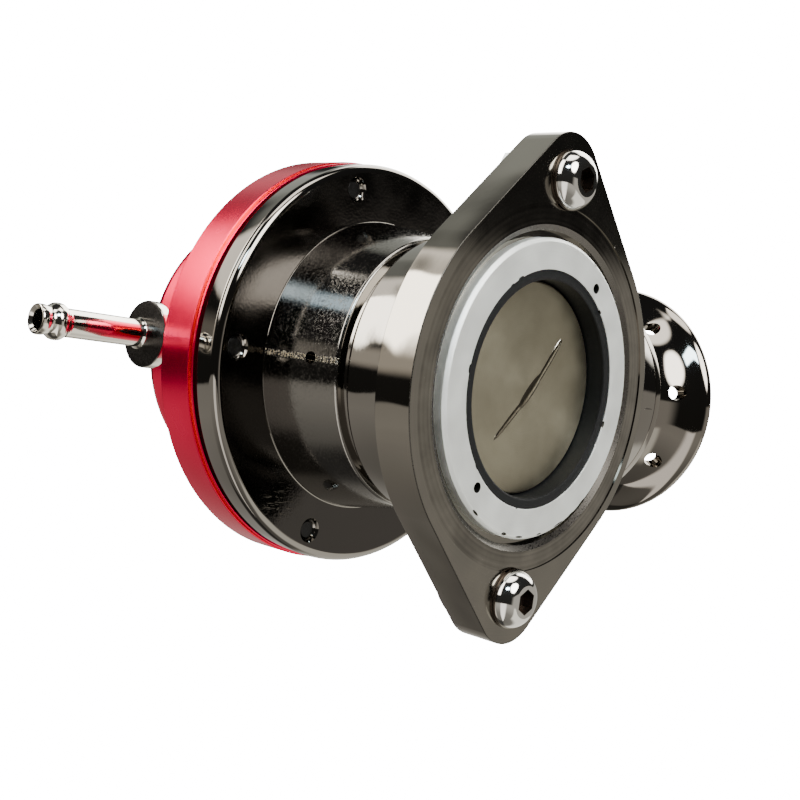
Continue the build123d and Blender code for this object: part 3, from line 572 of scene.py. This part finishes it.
for hole_r, start, end in ((6.55, -30.0, -27.3), (3.5, -28.5, -18.5), (NIPPLE_BORE_R, -19.0, -14.0)):
    carve(cap, drill(hole_r, start, end, axis="X", about=(0, NIPPLE_Y, 0)))
wear(cap, RED)
finish(cap, "cap")

# Valve body: barrel, cone and housing in one casting, with the outlet's neck on its side.
body = turned(
    "valve_body_casting",
    [
        (2.0, 0.0),
        (2.0, BARREL_FRONT_R, 0.3),
        (FLANGE_THICK, BARREL_FRONT_R),
        (FLANGE_THICK, BARREL_R, 0.3),
        (21.8, BARREL_R, 0.35),
        (23.3, 24.3),
        (CONE_START, 24.3),
        (CONE_START, 25.1, 0.1),
        (25.1, 25.5, 0.2),
        (HOUSING_FACE, CONE_R, 0.2),
        (HOUSING_FACE, 38.8, 1.6),
        (HOUSING_TOP, 38.8, 0.25),
        (HOUSING_TOP, 0.0),
    ],
    steps=256,
    closed=False,
)
neck = turned(
    "neck",
    [
        (15.0, 0.0),
        (15.0, 15.8),
        (34.8, 15.8, 0.5),
        (34.8, COLLAR_R, 0.4),
        (NECK_END, COLLAR_R, 0.25),
        (NECK_END, 0.0),
    ],
    axis="X",
    about=(0, OUTLET_Y, 0),
    closed=False,
)
carve(body, neck, "UNION")
chamber = turned(
    "chamber",
    [
        (1.0, 0.0),
        (1.0, SEAL_R),
        (SEAL_END, SEAL_R),
        (SEAL_END, 21.1),
        (6.4, 21.1, 0.2),
        (8.1, 22.8),
        (34.5, 22.8, 1.0),
        (37.5, 19.8, 1.0),
        (37.5, 6.5, 0.1),
        (42.0, 6.5, 0.1),
        (42.0, HOUSING_BORE_R, 0.4),
        (47.0, HOUSING_BORE_R),
        (47.0, 0.0),
    ],
    steps=200,
    closed=False,
)
carve(body, chamber)
for hole_r, start in ((OUTLET_BORE_R, 12.0), (14.6, 29.6)):
    carve(body, drill(hole_r, start, NECK_END + 0.5, axis="X", about=(0, OUTLET_Y, 0), sides=128))
# The screw holes: chamfered at the face, then six turns of thread.
thread = [(HOUSING_FACE - 1, 0.0), (HOUSING_FACE - 1, 2.95), (HOUSING_FACE + 0.35, 2.15)]
for ridge in range(6):
    crest = HOUSING_FACE + 0.6 + THREAD_PITCH * ridge
    thread += [(crest, THREAD_BORE_R), (crest + THREAD_PITCH / 2, 2.36)]
thread += [(HOUSING_TOP - 0.3, THREAD_BORE_R), (HOUSING_TOP + 1, THREAD_BORE_R), (HOUSING_TOP + 1, 0.0)]
carve(body, at_places(turned("threads", thread, steps=40, closed=False), CAP_SCREW_PLACES))
# The vent in the cone, the set screw's hole in the neck and a nick on the rim of its collar.
carve(body, drill(1.1, -30.0, -20.0, axis="X", about=(0, 30.6, 0), sides=32))
carve(body, drill(1.5, 13.4, 24.0, axis="Z", about=(37.6, OUTLET_Y, -37.4), sides=32))
dent(body, (38.0, 1.0, -0.7), (1.6, 0.14, 0.1))
zone(body, 1, lambda place, radius, normal: 24.6 < place.y < HOUSING_FACE and 24.9 < radius < CONE_R + 0.1)
zone(body, 2, lambda place, radius, normal: abs(place.y - HOUSING_FACE) < 0.02 and radius > CONE_R)
wear(body, BARREL_CHROME, CONE_CHROME, FACE_CHROME)
finish(body, "valve_body", sharp=24)

# Trumpet: spun horn with a rolled lip, a turned collar and eight holes through its flare.
trumpet = turned(
    "trumpet_horn",
    [
        (29.9, OUTLET_BORE_R),
        (29.9, 14.56, 0.3),
        (NECK_END, 14.56),
        (NECK_END, COLLAR_R, 0.25),
        (42.4, COLLAR_R, 0.25),
        (42.4, 17.0),
        *curve((44.9, 17.0), (50.2, 17.0), (54.4, 19.5), (56.8, 23.0), 20),
        *curve((56.8, 23.0), (57.6, 24.2), (58.3, 24.66), (58.9, 24.66), 12)[1:],
        *curve((58.9, 24.66), (59.6, 24.66), (59.95, 24.1), (59.55, 23.5), 8)[1:],
        *curve((58.0, 22.0), (56.0, 19.0), (53.4, 17.3), (50.2, 16.43), 14),
        (39.68, OUTLET_BORE_R),
    ],
    axis="X",
    about=(0, OUTLET_Y, 0),
    steps=256,
)
for step in range(8):
    hole = drill(1.6, 14.0, 28.0, axis="Z", about=(53.6, 0, 0), sides=40)
    around_horn = Matrix.Rotation(math.radians(35 + 45 * step), 4, "X")
    hole.data.transform(Matrix.Translation((0, OUTLET_Y * MM, 0)) @ around_horn)
    carve(trumpet, hole)
wear(trumpet, TRUMPET_CHROME)
finish(trumpet, "trumpet")

# Flange plate: the hull of a large and two small circles, with a stepped bore and two screw holes.
plate = bmesh.new()
for middle, radius in ((0, 33.8), (36.0, 8.7), (-36.0, 8.7)):
    for side in (0, FLANGE_THICK):
        rim = bmesh.ops.create_circle(plate, cap_ends=False, radius=radius * MM, segments=320)
        stand = Matrix.Translation(Vector((0, side, middle)) * MM) @ Matrix.Rotation(math.radians(90), 4, "X")
        bmesh.ops.transform(plate, matrix=stand, verts=rim["verts"])
bmesh.ops.convex_hull(plate, input=plate.verts)
bmesh.ops.delete(plate, geom=[vert for vert in plate.verts if not vert.link_faces], context="VERTS")
bmesh.ops.dissolve_limit(plate, angle_limit=math.radians(0.3), verts=plate.verts, edges=plate.edges)
bmesh.ops.recalc_face_normals(plate, faces=plate.faces)
outer_edges = [edge for edge in plate.edges if edge.calc_face_angle(0) > math.radians(60)]
bmesh.ops.bevel(
    plate,
    geom=outer_edges,
    offset=0.15 * MM,
    segments=3,
    profile=0.5,
    affect="EDGES",
    clamp_overlap=True,
    material=-1,
)
flange = mesh_object("flange_plate", plate)
bore = turned(
    "bore",
    [
        (-1.0, 0.0),
        (-1.0, RECESS_R),
        (RECESS_DEPTH, RECESS_R),
        (RECESS_DEPTH, POCKET_R + 1.0),
        (0.8, POCKET_R),
        (POCKET_DEPTH, POCKET_R),
        (POCKET_DEPTH, FLANGE_BORE_R),
        (4.0, FLANGE_BORE_R),
        (4.0, 26.3),
        (6.0, 26.3),
        (6.0, FLANGE_BORE_R),
        (8.0, FLANGE_BORE_R),
        (8.0, 0.0),
    ],
    steps=256,
    closed=False,
)
carve(flange, bore)
carve(flange, at_places(drill(3.3, -1.0, 8.0), BOLT_PLACES))
# The pits in its face.
for place, sizes in (
    ((16.6, 0, 27.8), (0.3, 0.3, 0.34)),
    ((-8.7, 0, -29.2), (0.12, 0.15, 0.42)),
    ((-8.2, 0, -27.9), (0.1, 0.12, 0.14)),
):
    dent(flange, place, sizes)
zone(flange, 1, lambda place, radius, normal: abs(normal.y) < 0.1 and radius > RECESS_R + 1)
# Painted shade: the slanted faces at the front (edges, chamfer and pits) take the darker nickel.
zone(flange, 2, lambda place, radius, normal: 0.1 < abs(normal.y) < 0.97 and place.y < 1)
zone(flange, 3, lambda place, radius, normal: abs(place.y - RECESS_DEPTH) < 0.05 and 28 < radius < 32.1)
wear(flange, FLANGE_FACE, FLANGE_SIDE, FLANGE_EDGE_SHADE, FLANGE_RINGS)
finish(flange, "mounting_flange", sharp=20)

# Button head screws, their sockets six-sided; sockets and a step at the foot of each head painted dark as
# shade.
screw = turned(
    "flange_button_screws",
    [
        (12.7, 0.0),
        (12.7, 2.4),
        (12.1, 3.0),
        (0.0, 3.0),
        (0.0, 5.25, 0.1),
        *curve((-0.6, 5.25), (-1.9, 4.95), (-3.0, 4.0), (-3.3, 2.9), 12),
        (-3.3, 0.0),
    ],
    steps=96,
    closed=False,
)
wear(screw, STAINLESS, SCREW_SHADE)
carve(screw, drill(2.31, -4.0, -1.2, sides=6), number=1)
# Painted shadow: the foot of each head takes the dark steel, as the shade under the head.
zone(screw, 1, lambda place, radius, normal: -0.5 < place.y < 0.3 and radius > 4)
at_places(screw, BOLT_PLACES)
finish(screw, "flange_screws")

# Hexagon nuts: a six-sided bar with its corners turned off at both ends.
nut = drill(5.77, FLANGE_THICK, NUT_END, sides=6)
nut.name = "flange_hexagon_nuts"
nut.data.transform(Matrix.Rotation(math.radians(14), 4, "Y"))
corners = turned(
    "corners",
    [
        (FLANGE_THICK, 0.0),
        (FLANGE_THICK, 5.1),
        (FLANGE_THICK + 0.7, 6.3),
        (NUT_END - 0.7, 6.3),
        (NUT_END, 5.1),
        (NUT_END, 0.0),
    ],
    steps=96,
    closed=False,
)
carve(nut, corners, "INTERSECT")
carve(nut, drill(3.03, 7.0, 13.0))
at_places(nut, BOLT_PLACES)
wear(nut, ZINC)
finish(nut, "flange_nuts")

# Seat ring with its two spanner holes and the nicks along its edges.
seat = turned(
    "seat_ring_bright",
    [
        (SEAT_FRONT, SEAT_BORE_R, 0.1),
        (SEAT_FRONT, 25.6, 0.12),
        (0.1, 26.2, 0.1),
        (POCKET_DEPTH, 26.2),
        (POCKET_DEPTH, SEAL_R),
        (SEAL_STEP, SEAL_R),
        (SEAL_STEP, SEAT_BORE_R),
    ],
    steps=256,
)
wear(seat, SEAT, SEAT_SHADE)
# Painted shade: the spanner holes and the nicks below take the dark aluminium, as shade inside them.
for angle in (59.0, 230.0):
    carve(seat, at_places(drill(0.9, -1.0, 1.1, sides=24), ring_places(1, 22.6, angle)), number=1)
for angle, radius, long, deep in (
    (121, 20.85, 0.55, 0.2),
    (128, 20.8, 0.35, 0.15),
    (175, 20.85, 0.55, 0.22),
    (347, 20.85, 0.45, 0.2),
    (336, 20.9, 0.25, 0.12),
    (48, 20.8, 0.3, 0.12),
    (222, 20.8, 0.4, 0.14),
    (262, 20.8, 0.25, 0.1),
    (311, 25.7, 0.9, 0.18),
    (303, 25.75, 0.6, 0.16),
    (294, 25.7, 1.1, 0.2),
    (281, 25.7, 0.5, 0.16),
    (268, 25.75, 0.8, 0.18),
    (258, 25.7, 0.5, 0.22),
    (237, 25.7, 0.7, 0.16),
    (331, 25.75, 0.5, 0.16),
    (66, 25.7, 0.4, 0.14),
):
    nick = (deep * 1.5, deep * 1.5, long * 1.4)
    dent(seat, ring_places(1, radius, angle, SEAT_FRONT)[0], nick, angle, number=1)
finish(seat, "seat_ring")

# Seal: a rubber ring with a foot that the seat ring holds down.
seal = turned(
    "seat_seal_rubber",
    [
        (-0.3, 19.0, 0.3),
        (-0.3, SEAT_BORE_R),
        (SEAL_STEP, SEAT_BORE_R),
        (SEAL_STEP, SEAL_R),
        (SEAL_END, SEAL_R),
        (SEAL_END, 19.0, 0.1),
    ],
    steps=200,
)
wear(seal, RUBBER)
finish(seal, "seat_seal")

# Valve head, turned, with its hub behind and the gouge across its face.
head = turned(
    "valve_head_turned",
    [
        (HEAD_FACE, 0.0),
        (HEAD_FACE, 18.7, 0.3),
        (SEAL_END, 18.7),
        (SEAL_END, 20.5, 0.2),
        (8.2, 20.5, 0.5),
        (8.2, 10.0),
        (9.1, 7.9),
        (11.2, 7.0),
        (14.5, 7.0, 0.3),
        (14.5, 3.0),
        (6.4, 3.0),
        (6.4, 0.0),
    ],
    steps=200,
    closed=False,
)
wear(head, VALVE, VALVE_GOUGE_SHADE, VALVE_GOUGE_HIGHLIGHT)
# The gouge: three cuts painted dark as shade inside it, then a painted highlight along its lit edge.
for place, sizes, slant, number in (
    ((5.1, HEAD_FACE, 4.3), (6.4, 0.4, 0.6), 55, 1),
    ((-2.6, HEAD_FACE, -4.9), (6.6, 0.4, 0.55), 46, 1),
    ((1.3, HEAD_FACE, -0.5), (4.4, 0.5, 1.0), 51, 1),
    ((6.0, HEAD_FACE, 6.3), (4.2, 0.3, 0.26), 56, 2),
    ((0.3, HEAD_FACE, -0.8), (3.0, 0.45, 0.22), 52, 2),
    ((-4.2, HEAD_FACE, -6.3), (4.0, 0.3, 0.24), 44, 2),
):
    dent(head, place, sizes, slant, number=number)
finish(head, "valve_head", body="valve")

# Hose nipple: a beaded tube with a round flange.
nipple = turned(
    "hose_nipple_nickel",
    [
        (-58.4, NIPPLE_BORE_R),
        (-58.9, 2.3),
        (-58.9, 2.75, 0.25),
        (-57.7, 2.75, 0.15),
        (-57.2, NIPPLE_TUBE_R),
        *curve((-56.9, NIPPLE_TUBE_R), (-56.2, 2.65), (-56.0, NIPPLE_BEAD_R), (-55.2, NIPPLE_BEAD_R), 8),
        *curve((-54.6, NIPPLE_BEAD_R), (-53.8, 3.3), (-53.6, NIPPLE_TUBE_R), (-52.8, NIPPLE_TUBE_R), 8),
        (-38.0, NIPPLE_TUBE_R),
        (-37.6, 3.0, 0.1),
        (-36.1, 3.0),
        (-36.1, 6.35, 0.35),
        (-33.9, 6.35, 0.25),
        (-33.9, 4.7),
        (-28.8, 4.7, 0.1),
        (-28.8, 3.47),
        (-18.5, 3.47, 0.4),
        (-18.5, NIPPLE_BORE_R),
    ],
    axis="X",
    about=(0, NIPPLE_Y, 0),
    steps=96,
)
# The flange's outer face, the only one past the tube that looks outwards, is painted dark as shade.
zone(nipple, 1, lambda place, radius, normal: normal.x < -0.9 and place.x > -36.2)
wear(nipple, NICKEL, NICKEL_SHADE)
finish(nipple, "hose_nipple")

# The CAD pieces that stay as they are get their materials.

KEPT = {
    "flange_o_ring": RUBBER,
    "valve_stem": PLAIN_STEEL,
    "stem_bush": BRASS,
    "stem_seal": RUBBER,
    "bush_clip": PLAIN_STEEL,
    "lower_plate": PLAIN_ALUMINIUM,
    "upper_plate": PLAIN_ALUMINIUM,
    "stem_washer": STAINLESS,
    "stem_nut": ZINC,
    "diaphragm": RUBBER,
    "cap_screws": BLACK_STEEL,
    "main_spring": PLAIN_STEEL,
    "spring_seat": PLAIN_ALUMINIUM,
    "adjuster_screw": BLACK_STEEL,
    "lock_nut": ZINC,
    "nipple_seal": RUBBER,
    "trumpet_o_ring": RUBBER,
    "trumpet_set_screw": BLACK_STEEL,
}
for name, material in KEPT.items():
    kept_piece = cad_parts[name]
    kept_piece.data.materials.clear()
    wear(kept_piece, material)

# The floor: white paper, lit until it is as pale as the backdrop, and kept out of the reflections.

floor_sheet = bmesh.new()
bmesh.ops.create_grid(floor_sheet, x_segments=1, y_segments=1, size=6.0)
bmesh.ops.translate(floor_sheet, verts=floor_sheet.verts, vec=(0, 0, -0.6))
floor = mesh_object("floor", floor_sheet)
paper, paper_tree, paper_place = new_material("paper_white_lit")
fibres = node(paper_tree, "ShaderNodeTexNoise", {"Scale": 1 / (2.5 * MM)}, {"Vector": paper_place})
paper_rough = node(paper_tree, "ShaderNodeValToRGB", {"stops": [(0.0, 0.8), (1.0, 0.95)]}, {"Fac": fibres})
paper_shader = node(
    paper_tree,
    "ShaderNodeBsdfPrincipled",
    {"Base Color": hex_colour("#F4F3F0"), "Emission Color": hex_colour("#FFFFFF"), "Emission Strength": 16.0},
    {"Roughness": paper_rough},
)
node(paper_tree, "ShaderNodeOutputMaterial", links={"Surface": paper_shader})
wear(floor, paper)
floor.visible_glossy = False
floor.visible_diffuse = False

# The studio round the object: a warm grey table, soft panels and the dark between them.

world = bpy.data.worlds.new("studio")
bpy.context.scene.world = world
world.use_nodes = True
studio = world.node_tree
studio.nodes.clear()
direction = node(studio, "ShaderNodeTexCoord").outputs["Generated"]
east, north, aloft = node(studio, "ShaderNodeSeparateXYZ", links={"Vector": direction}).outputs

# Where a direction lies: its height, its turn from +Y toward +X, the same turn counted from -Y, and its
# height above two lines that climb to the right, for the panels that hang askew.
height = node(studio, "ShaderNodeMath", {"operation": "ARCSINE"}, {0: aloft})
turn = node(studio, "ShaderNodeMath", {"operation": "ARCTAN2"}, {0: east, 1: north})
west = node(studio, "ShaderNodeMath", {"operation": "MULTIPLY", 1: -1.0}, {0: east})
south = node(studio, "ShaderNodeMath", {"operation": "MULTIPLY", 1: -1.0}, {0: north})
turn_back = node(studio, "ShaderNodeMath", {"operation": "ARCTAN2"}, {0: west, 1: south})
askew = node(studio, "ShaderNodeMath", {"operation": "MULTIPLY_ADD", 1: -0.6}, {0: turn, 2: height})
steep = node(studio, "ShaderNodeMath", {"operation": "MULTIPLY_ADD", 1: -1.5}, {0: turn, 2: height})

# The table, lighter toward its far edge 16 degrees below the object, and the dark room above it.
level = node(
    studio,
    "ShaderNodeMapRange",
    {"From Min": math.radians(-90), "From Max": math.radians(90)},
    {"Value": height},
)
table = node(
    studio,
    "ShaderNodeValToRGB",
    {
        "stops": [
            (0.0, hex_colour("#FFFAF0", 0.22)),
            (40 / 180, hex_colour("#FFFAF0", 0.33)),
            (65 / 180, hex_colour("#FFFAF0", 0.64)),
            (73.6 / 180, hex_colour("#FFFAF0", 0.6)),
            (74.4 / 180, hex_colour("#FFFAF0", 0.03)),
            (1.0, hex_colour("#F2F6FF", 0.04)),
        ]
    },
    {"Fac": level},
)


def panel(under, glow, around, sides, rise, ends, soft):
    """A panel of light over what lies under it, from side to side and from end to end in degrees, with the
    half width of its four soft edges."""
    cover = None
    for value, place, blur, opening in (
        (around, sides[0], soft[0], True),
        (around, sides[1], soft[1], False),
        (rise, ends[0], soft[2], True),
        (rise, ends[1], soft[3], False),
    ):
        edge = node(
            studio,
            "ShaderNodeMapRange",
            {
                "interpolation_type": "SMOOTHSTEP",
                "From Min": math.radians(place - blur),
                "From Max": math.radians(place + blur),
                "To Min": 0.0 if opening else 1.0,
                "To Max": 1.0 if opening else 0.0,
            },
            {"Value": value},
        )
        if cover is None:
            cover = edge
        else:
            cover = node(studio, "ShaderNodeMath", {"operation": "MULTIPLY"}, {0: cover, 1: edge})
    return node(studio, "ShaderNodeMix", {"data_type": "RGBA", 7: glow}, {0: cover, 6: under}).outputs[2]


def umbrella(under, glow, aim, reach):
    """A round soft light of this reach round its aim, a turn and a height, all in degrees."""
    across, up = [math.radians(angle) for angle in aim]
    axis = (math.sin(across) * math.cos(up), math.cos(across) * math.cos(up), math.sin(up))
    nearness = node(studio, "ShaderNodeVectorMath", {"operation": "DOT_PRODUCT", 1: axis}, {0: direction})
    cover = node(
        studio,
        "ShaderNodeMapRange",
        {
            "interpolation_type": "SMOOTHSTEP",
            "From Min": math.cos(math.radians(reach + 3)),
            "From Max": math.cos(math.radians(reach - 3)),
        },
        {"Value": nearness.outputs["Value"]},
    )
    return node(studio, "ShaderNodeMix", {"data_type": "RGBA", 7: glow}, {0: cover, 6: under}).outputs[2]


light = table.outputs["Color"]
for panel_settings in (
    # Low cards in front: along the undersides of barrel and trumpet, then up the lower edge of the housing.
    (hex_colour("#FFFCF2", 1.5), turn_back, (-130, -12), height, (-58, -21), (8, 6, 8, 2)),
    (hex_colour("#FFFAF4", 2.4), turn, (-138, -108), height, (-90, -16), (5, 5, 1, 1)),
    # The shade under the object.
    (hex_colour("#FFFAF4", 0.07), turn, (-40, 60), height, (-90, -53), (8, 8, 1, 4)),
    # The grey wall in front, in the flange's face, the seat ring and the valve head.
    (hex_colour("#FFFAF0", 0.6), turn_back, (-120, 8), height, (-17, 6.2), (3, 12, 0.5, 0.8)),
    # The far edge of the table on the left, brighter at its end: a thin line along barrel and housing.
    (hex_colour("#FFF6E8", 0.4), turn, (-60, -20), height, (-1, 9), (3, 3, 3, 3)),
    (hex_colour("#FFF6E8", 1.1), turn, (-60, -41), height, (-1, 9), (3, 2, 3, 3)),
    # Dim cards above and behind, in the upper part of the cap and of the flange's side.
    (hex_colour("#FBFFF6", 0.5), turn, (-16, 14), height, (38, 50), (10, 4, 3, 2)),
    (hex_colour("#FBFFF6", 0.75), turn, (12, 45), height, (28, 56), (4, 6, 3, 4)),
    # The large light on the far right: the top of the barrel and the trumpet's lip.
    (hex_colour("#FFFDF6", 8.0), turn, (45, 108), height, (13, 62), (6, 4, 3, 6)),
    # The main light on the left behind, hung askew: a soft sheet in cap, cone and flange, its core in the
    # flange's side and the barrel.
    (hex_colour("#FFFAF0", 3.2), turn, (-49, -13), askew, (39, 58), (1, 4, 2, 2)),
    (hex_colour("#FFFAF0", 15.0), turn, (-48, -28.5), steep, (79, 97), (1, 1, 2, 3)),
    # A window beside it: the cool patch on the cone.
    (hex_colour("#D4EEFF", 3.0), turn, (-57, -48), height, (33, 42), (1, 1, 1, 1)),
    # A strip on the left: the line along the housing's rounded rim.
    (hex_colour("#FFFBF4", 8.0), turn, (-100, -72), height, (12, 62), (3, 3, 2, 4)),
    # Overhead: the upper patch on the trumpet.
    (hex_colour("#FFFBF4", 6.0), turn_back, (-50, 80), height, (64, 90), (8, 8, 3, 1)),
    # A small cool lamp: the glints on cone, cap and screws.
    (hex_colour("#D4EEFF", 30.0), turn, (-141, -122), height, (34, 42), (2, 2, 1, 1)),
):
    light = panel(light, *panel_settings)
# The round light in front: the lower patch on the trumpet.
light = umbrella(light, hex_colour("#FFFDF8", 15.0), (-170, 36), 17)

# The camera sees a white backdrop, the pieces see the studio.
shed = node(studio, "ShaderNodeBackground", links={"Color": light})
seen = node(studio, "ShaderNodeBackground", {"Color": hex_colour("#FFFFFF"), "Strength": 18.0})
ray = node(studio, "ShaderNodeLightPath")
surroundings = node(studio, "ShaderNodeMixShader", links={0: ray.outputs["Is Camera Ray"], 1: shed, 2: seen})
node(studio, "ShaderNodeOutputWorld", links={"Surface": surroundings})
